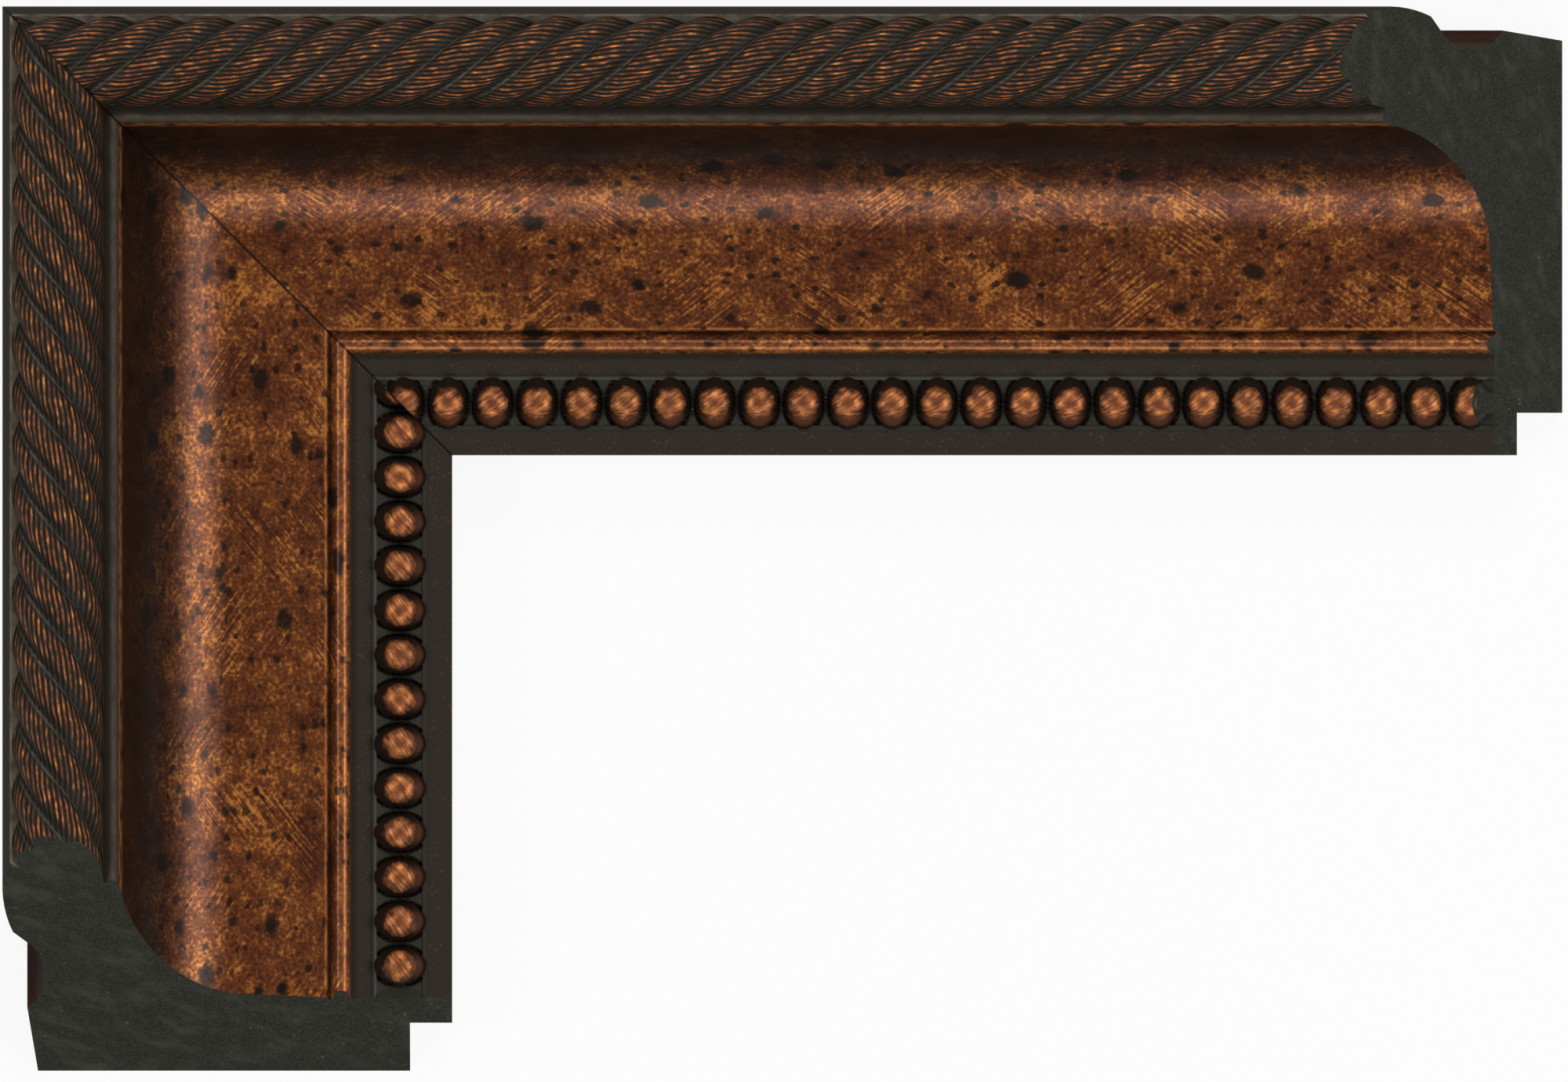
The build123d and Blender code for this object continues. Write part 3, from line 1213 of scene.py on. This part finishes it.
    def lay_out(self, mesh: bpy.types.Mesh, skin: dict[str, np.ndarray]) -> None:
        """Gives the skin its UV map: metres along the rail, then metres around the section.

        Args:
            mesh: the rail's mesh.
            skin: the arrays that it was made from.
        """
        middle = len(skin["along"]) // 2
        steps = np.hypot(np.diff(skin["inset"][middle]), np.diff(skin["height"][middle]))
        around = np.append(0, np.cumsum(steps))
        onward = self.run.value * skin["along"]
        lay = np.stack([onward, np.broadcast_to(around, onward.shape)], axis=-1).reshape(-1, 2) * MM
        corners = np.empty(len(mesh.loops), dtype=np.int32)
        mesh.loops.foreach_get("vertex_index", corners)
        mesh.uv_layers.new(name="Lay").data.foreach_set("uv", lay[corners].ravel())

    def dress(self, piece: bpy.types.Object, finishes: dict[Zone, bpy.types.Material]) -> None:
        """Puts the finishes on the rail, in zone order, ties it to the root body and hides its solid.

        Args:
            piece: the rail's object.
            finishes: the material of each zone.
        """
        for zone in Zone:
            piece.data.materials.append(finishes[zone])
        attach(piece, "root")
        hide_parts(self.node)


@dataclass
class Studio:
    """A white floor, four soft lamps around the sample and a camera straight above it.

    Lengths are in metres here, and the width of the camera's sensor is in millimetres. The lamps
    stand at the front, right, back and left.
    """

    view_width: float = 0.23444
    camera_height: float = 5.0
    camera_shift: Point = (-0.00006, -0.00015)
    camera_reach: float = 20.0
    sensor_width: float = 36.0
    lamp_distance: float = 1.3
    lamp_slope: float = 44.0
    lamp_size: float = 0.5
    lamp_powers: tuple[float, ...] = (4.7, 6.3, 5.0, 5.0)
    room_light: float = 0.08
    floor_size: float = 60.0
    floor_glow: float = 0.9
    floor_grey: Colour = (0.8, 0.8, 0.8, 1.0)
    white: Colour = (1.0, 1.0, 1.0, 1.0)

    def build(self) -> None:
        """Sets up the floor, the lamps, the room's light and the camera."""
        self.floor()
        self.lamps()
        self.room()
        self.camera()
        bpy.context.scene.view_settings.view_transform = "Standard"

    def floor(self) -> None:
        """Lays a white floor that shows white to the camera and still takes a soft shadow."""
        half = self.floor_size / 2
        corners = [(-half, -half, 0.0), (half, -half, 0.0), (half, half, 0.0), (-half, half, 0.0)]
        mesh = bpy.data.meshes.new("floor")
        mesh.from_pydata(corners, [], [(0, 1, 2, 3)])
        floor = bpy.data.objects.new("floor", mesh)
        bpy.context.scene.collection.objects.link(floor)
        material, bench, shader = new_material("white floor")
        shader.inputs["Base Color"].default_value = self.floor_grey
        shader.inputs["Roughness"].default_value = 1.0
        shader.inputs["Specular IOR Level"].default_value = 0.0
        path = bench.add("LightPath").outputs
        seen = bench.math("MAXIMUM", path["Is Camera Ray"], path["Is Glossy Ray"])
        seen = bench.math("MAXIMUM", seen, path["Is Transmission Ray"])
        glow = bench.add("Emission", {"Color": self.white, "Strength": 1.0})
        shares = {0: bench.times(seen, self.floor_glow), 1: shader.outputs[0], 2: glow.outputs[0]}
        blend = bench.add("MixShader", shares)
        bench.put(blend.outputs[0], material.node_tree.nodes["Material Output"].inputs["Surface"])
        mesh.materials.append(material)

    def lamps(self) -> None:
        """Hangs a square lamp on each side, aimed at the sample."""
        slope = np.radians(self.lamp_slope)
        reach = self.lamp_distance * np.sin(slope)
        height = self.lamp_distance * np.cos(slope)
        for number, power in enumerate(self.lamp_powers):
            turn = number * np.pi / 2
            lamp = bpy.data.lights.new(f"side lamp {number + 1}", "AREA")
            lamp.energy = power
            lamp.size = self.lamp_size
            holder = bpy.data.objects.new(lamp.name, lamp)
            holder.location = (reach * np.sin(turn), -reach * np.cos(turn), height)
            holder.rotation_euler = (slope, 0.0, turn)
            bpy.context.scene.collection.objects.link(holder)

    def room(self) -> None:
        """Sets a dim even light all around."""
        world = bpy.data.worlds.new("dim room")
        world.use_nodes = True
        background = world.node_tree.nodes["Background"].inputs
        background["Color"].default_value = self.white
        background["Strength"].default_value = self.room_light
        bpy.context.scene.world = world

    def camera(self) -> None:
        """Looks straight down through a long lens, with the long rail along the top."""
        lens = bpy.data.cameras.new("camera")
        lens.sensor_width = self.sensor_width
        lens.lens = self.sensor_width * self.camera_height / self.view_width
        lens.clip_end = self.camera_reach
        holder = bpy.data.objects.new("camera", lens)
        holder.location = (*self.camera_shift, self.camera_height)
        bpy.context.scene.collection.objects.link(holder)
        bpy.context.scene.camera = holder


def rails() -> list[Rail]:
    """Describes both rails from their solids' boxes.

    Returns:
        The long rail along the top and the short rail down the left side.
    """
    low, high = (np.array(corner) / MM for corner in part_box("long_rail"))
    short_low, short_high = (np.array(corner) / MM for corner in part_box("short_rail"))
    section = MouldingSection(width=float(high[1] - low[1]), height=float(high[2] - low[2]))
    corner = (float(low[0]), float(high[1]))
    long_rail = Rail(
        "long_rail",
        Run.RIGHT,
        section,
        corner,
        leg=float(high[0] - low[0]),
        end_slope=44.3,
        rope_phase=3.94,
        bead_phase=59.5,
        paint_lap=3.4,
        painted_flank_light=1.0,
    )
    short_rail = Rail(
        "short_rail",
        Run.DOWN,
        section,
        corner,
        leg=float(short_high[1] - short_low[1]),
        end_slope=45.7,
        rope_phase=3.7,
        bead_phase=56.7,
        paint_lap=1.7,
        # The short rail's bead flanks take less painted light than the long rail's
        painted_flank_light=0.75,
    )
    return [long_rail, short_rail]


def main() -> None:
    """Loads the frame, builds and dresses both rails, and sets up the studio."""
    logging.basicConfig(level=logging.INFO)
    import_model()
    effects = SharedEffects()
    finishes = {zone: finish.material(effects) for zone, finish in FINISHES.items()}
    for rail in rails():
        piece = rail.build()
        rail.dress(piece, finishes)
        LOG.info("%s: %d faces", rail.node, len(piece.data.polygons))
    Studio().build()


if __name__ == "__main__":
    main()
